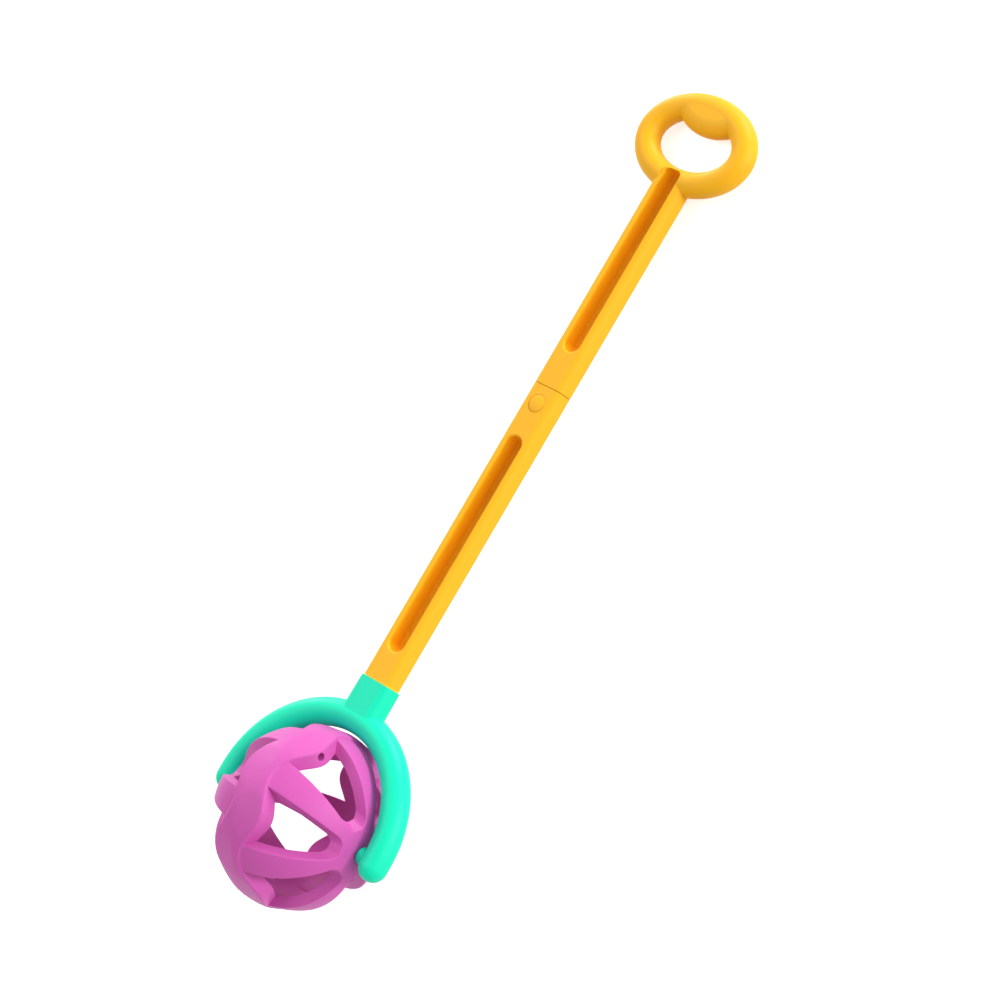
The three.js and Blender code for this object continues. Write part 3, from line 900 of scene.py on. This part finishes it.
class PUSHTOY_OT_lower_handle(bpy.types.Operator):
    """Lower bar of the handle with its slot, socket and button hole"""

    bl_idname = "pushtoy.lower_handle"
    bl_label = "Lower handle"

    def execute(self, context):
        sizes = settings().handle
        button = settings().button
        stop = sizes.seam - sizes.seam_gap / 2
        shaft = bar(sizes, 0, sizes.bottom, stop, end_round=sizes.seam_round)
        made = as_object(shaft, "lower_handle_moulding", plastic("yellow"))
        tip = settings().fork.socket_floor + sizes.collar_gap
        root = sizes.bottom + OVERRUN
        spigot = bar(sizes, sizes.collar_inset, tip, root, start_round=sizes.spigot_lead)
        combine(made, spigot, "UNION")
        cut = slot(sizes, sizes.lower_slot_start, sizes.lower_slot_end, sizes.slot_round)
        combine(made, cut, "DIFFERENCE")
        floor = sizes.seam - sizes.spigot - sizes.socket_end_gap
        socket = bar(sizes, sizes.socket_inset, floor, sizes.seam + OVERRUN)
        combine(made, socket, "DIFFERENCE")
        place = Matrix.Translation((0, button.place, 0))
        hole = disc(button.radius + button.clearance, 0, sizes.half_depth + OVERRUN, place)
        combine(made, hole, "DIFFERENCE")
        finish_surface(made, "handle", "lower_handle")
        return {"FINISHED"}


class PUSHTOY_OT_snap_button(bpy.types.Operator):
    """Domed button on its springy tongue"""

    bl_idname = "pushtoy.snap_button"
    bl_label = "Snap button"

    def execute(self, context):
        sizes = settings().handle
        button = settings().button
        top = sizes.half_depth - sizes.spigot_inset
        bottom = top - button.tongue_thickness
        rim = sizes.half_depth + button.proud
        profile = [(0, bottom), (button.radius, bottom)]
        for inward, down in rounding(button.round, BUTTON_STEPS):
            profile.append((button.radius - inward, rim - down))
        flat = button.radius - button.round
        for i in range(1, BUTTON_STEPS + 1):
            part = 1 - i / BUTTON_STEPS
            profile.append((flat * part, rim + button.crown * (1 - part * part)))
        place = Matrix.Translation((0, button.place, 0)) @ Matrix.Rotation(-QUARTER, 4, "Y")
        made = as_object(spun(profile, place), "snap_button_moulding", plastic("yellow"))
        start = sizes.seam - sizes.spigot + button.tongue_start
        end = sizes.seam - button.tongue_end
        combine(made, block(button.tongue_half_width, start, end, bottom, top), "UNION")
        finish_surface(made, "button", "snap_button")
        return {"FINISHED"}


class PUSHTOY_OT_fork(bpy.types.Operator):
    """Half-round fork with collar, bosses and axle pins"""

    bl_idname = "pushtoy.fork"
    bl_label = "Fork"

    def execute(self, context):
        sizes = settings().fork
        handle = settings().handle
        made = as_object(arch(sizes), "fork_moulding", plastic("teal"))
        combine(made, collar(sizes), "UNION")
        for side in (1, -1):
            combine(made, axle(sizes, side), "UNION")
        inset = handle.collar_inset - handle.collar_gap
        socket = bar(handle, inset, sizes.socket_floor, sizes.collar_top + OVERRUN)
        combine(made, socket, "DIFFERENCE")
        finish_surface(made, "handle", "fork")
        return {"FINISHED"}


class PUSHTOY_OT_ball(bpy.types.Operator):
    """The two openwork halves of the ball, the second turned half way"""

    bl_idname = "pushtoy.ball"
    bl_label = "Ball"

    def execute(self, context):
        sizes = settings().ball
        made = as_object(ball_half(sizes), "ball_right_moulding", plastic("pink"))
        boss = sizes.peg_hole + sizes.boss_wall
        far = sizes.lobe_reach + OVERRUN
        root = sizes.band_half_width / 2
        for turn in (0, HALF):
            lobe = sizes.lobe_turn + turn
            spoke = lobe - PITCH / 2
            combine(made, peg(sizes, boss, sizes.boss_start, sizes.boss_reach, lobe), "UNION")
            combine(made, peg(sizes, sizes.peg_hole, -OVERRUN, far, lobe), "DIFFERENCE")
            combine(made, peg(sizes, sizes.peg, -sizes.peg_length, root, spoke), "UNION")
        # Half a turn about a line midway between a lobe and a spoke gives the other half its place
        middle = sizes.lobe_turn - PITCH / 4
        axis = Vector((0, math.cos(middle), math.sin(middle)))
        flip = LAID @ Matrix.Rotation(HALF, 4, axis) @ LAID.inverted()
        other = bpy.data.objects.new("ball_left_moulding", made.data.copy())
        other.data.transform(flip)
        context.scene.collection.objects.link(other)
        finish_surface(made, "ball", "ball_half_right")
        finish_surface(other, "ball", "ball_half_left")
        return {"FINISHED"}


# The camera, fitted to the picture. Its place and its two directions are the toy's own.
EYE = (1379.5 * MM, 94.8 * MM, 1689.3 * MM)
TO_THE_RIGHT = (0.689, 0.504, -0.5209)
AHEAD = (-0.6293, 0.0595, -0.7749)
SENSOR = 36  # its width, in millimetres
FOCAL_SHARE = 3.6193  # focal length, in widths of the picture
NEAREST = 0.05  # what the camera sees, in metres
FARTHEST = 50

FLOOR_HALF = 6  # metres from the toy to the floor's edge
WHITE = "#FFFFFF"
PAPER = "#EDEDED"  # the floor's paper
PAPER_GLOW = 0.65  # what brings it up to white where it is looked at
AMBIENT = 0.46  # light from all round
SHOWN = 1.0  # white, where the backdrop is looked at

# Three lamps almost level with the floor round the handle's end, and two above them: the name, the
# turn round the toy, the height and the spread in degrees, and the power
LAMPS = (
    ("low_right", 30, 4, 14, 1.65),
    ("low_far", 90, 4, 14, 1.95),
    ("low_left", 150, 4, 14, 1.08),
    ("right", 20, 25, 30, 0.8),
    ("high", 180, 60, 40, 1.0),
)


def shown_as_white(tree):
    """1 for the rays that show the backdrop: the camera's own, and those seen in gloss or glass."""
    rays = add_node(tree, "ShaderNodeLightPath")
    gloss = add_node(
        tree,
        "ShaderNodeMath",
        {"operation": "MAXIMUM"},
        links={0: rays.outputs["Is Camera Ray"], 1: rays.outputs["Is Glossy Ray"]},
    )
    return add_node(
        tree,
        "ShaderNodeMath",
        {"operation": "MAXIMUM"},
        links={0: gloss.outputs["Value"], 1: rays.outputs["Is Transmission Ray"]},
    ).outputs["Value"]


def pale_floor():
    """White paper sweep: matt, and bright enough to the camera to read as white."""
    material = bpy.data.materials.new("white_paper_sweep")
    material.use_nodes = True
    tree = material.node_tree
    tree.nodes.clear()
    matt = {"Color": (*from_hex(PAPER), 1)}
    paper = add_node(tree, "ShaderNodeBsdfDiffuse", values=matt)
    light = {"Color": (*from_hex(WHITE), 1), "Strength": PAPER_GLOW}
    glow = add_node(tree, "ShaderNodeEmission", values=light)
    both = add_node(
        tree,
        "ShaderNodeAddShader",
        links={0: paper.outputs["BSDF"], 1: glow.outputs["Emission"]},
    )
    mixed = add_node(
        tree,
        "ShaderNodeMixShader",
        links={0: shown_as_white(tree), 1: paper.outputs["BSDF"], 2: both.outputs["Shader"]},
    )
    add_node(tree, "ShaderNodeOutputMaterial", links={"Surface": mixed.outputs["Shader"]})
    return material


def add_floor(scene):
    """The floor that the toy lies on."""
    mesh = bmesh.new()
    bmesh.ops.create_grid(mesh, x_segments=1, y_segments=1, size=FLOOR_HALF)
    data = bpy.data.meshes.new("floor")
    mesh.to_mesh(data)
    mesh.free()
    data.materials.append(pale_floor())
    floor = bpy.data.objects.new("floor", data)
    scene.collection.objects.link(floor)


def add_camera(scene):
    """The camera at the picture's angle."""
    turned = LAID.to_3x3()
    right = (turned @ Vector(TO_THE_RIGHT)).normalized()
    ahead = (turned @ Vector(AHEAD)).normalized()
    up = right.cross(ahead).normalized()
    right = ahead.cross(up)
    data = bpy.data.cameras.new("camera")
    data.sensor_width = SENSOR
    data.lens = SENSOR * FOCAL_SHARE
    data.clip_start = NEAREST
    data.clip_end = FARTHEST
    camera = bpy.data.objects.new("camera", data)
    place = Matrix.Translation(LAID @ Vector(EYE))
    camera.matrix_world = place @ Matrix((right, up, -ahead)).transposed().to_4x4()
    scene.collection.objects.link(camera)
    scene.camera = camera


def add_lamps(scene):
    """The lamps, all far away."""
    for name, turn, height, spread, power in LAMPS:
        data = bpy.data.lights.new(name, "SUN")
        data.angle = math.radians(spread)
        data.energy = power
        lamp = bpy.data.objects.new(name, data)
        lamp.rotation_euler = (math.radians(90 - height), 0, math.radians(90 + turn))
        scene.collection.objects.link(lamp)


def add_world(scene):
    """Soft light from all round, and a backdrop that shows as white."""
    world = bpy.data.worlds.new("studio")
    world.use_nodes = True
    tree = world.node_tree
    tree.nodes.clear()
    dim = {"Color": (*from_hex(WHITE), 1), "Strength": AMBIENT}
    light = add_node(tree, "ShaderNodeBackground", values=dim)
    full = {"Color": (*from_hex(WHITE), 1), "Strength": SHOWN}
    seen = add_node(tree, "ShaderNodeBackground", values=full)
    mixed = add_node(
        tree,
        "ShaderNodeMixShader",
        links={
            0: shown_as_white(tree),
            1: light.outputs["Background"],
            2: seen.outputs["Background"],
        },
    )
    add_node(tree, "ShaderNodeOutputWorld", links={"Surface": mixed.outputs["Shader"]})
    scene.world = world


class PUSHTOY_OT_stage(bpy.types.Operator):
    """Pale floor, soft lamps and the camera"""

    bl_idname = "pushtoy.stage"
    bl_label = "Stage"

    def execute(self, context):
        add_floor(context.scene)
        add_camera(context.scene)
        add_lamps(context.scene)
        add_world(context.scene)
        context.scene.view_settings.view_transform = "Standard"
        return {"FINISHED"}


class PUSHTOY_PT_panel(bpy.types.Panel):
    """Buttons and sizes of the push toy"""

    bl_idname = "PUSHTOY_PT_panel"
    bl_label = "Push toy"
    bl_space_type = "VIEW_3D"
    bl_region_type = "UI"
    bl_category = "Push toy"

    def draw(self, context):
        layout = self.layout
        for operator in OPERATORS:
            layout.operator(operator.bl_idname)
        toy = context.scene.push_toy
        for group in (toy.ball, toy.fork, toy.handle, toy.button, toy.colours):
            column = layout.box().column()
            for name in group.__annotations__:
                column.prop(group, name)


OPERATORS = (
    PUSHTOY_OT_ring_handle,
    PUSHTOY_OT_lower_handle,
    PUSHTOY_OT_snap_button,
    PUSHTOY_OT_fork,
    PUSHTOY_OT_ball,
    PUSHTOY_OT_stage,
)
CLASSES = (
    BallSizes,
    ForkSizes,
    HandleSizes,
    ButtonSizes,
    ToyColours,
    PushToySettings,
    *OPERATORS,
    PUSHTOY_PT_panel,
)


def register():
    """Makes the sizes, the operators and the panel known to Blender."""
    for item in CLASSES:
        bpy.utils.register_class(item)
    bpy.types.Scene.push_toy = PointerProperty(type=PushToySettings)


def unregister():
    """Takes them out again."""
    del bpy.types.Scene.push_toy
    for item in reversed(CLASSES):
        bpy.utils.unregister_class(item)


def main():
    """Builds the whole toy."""
    register()
    bpy.ops.pushtoy.ring_handle()
    bpy.ops.pushtoy.lower_handle()
    bpy.ops.pushtoy.snap_button()
    bpy.ops.pushtoy.fork()
    bpy.ops.pushtoy.ball()
    bpy.ops.pushtoy.stage()


if __name__ == "__main__":
    main()
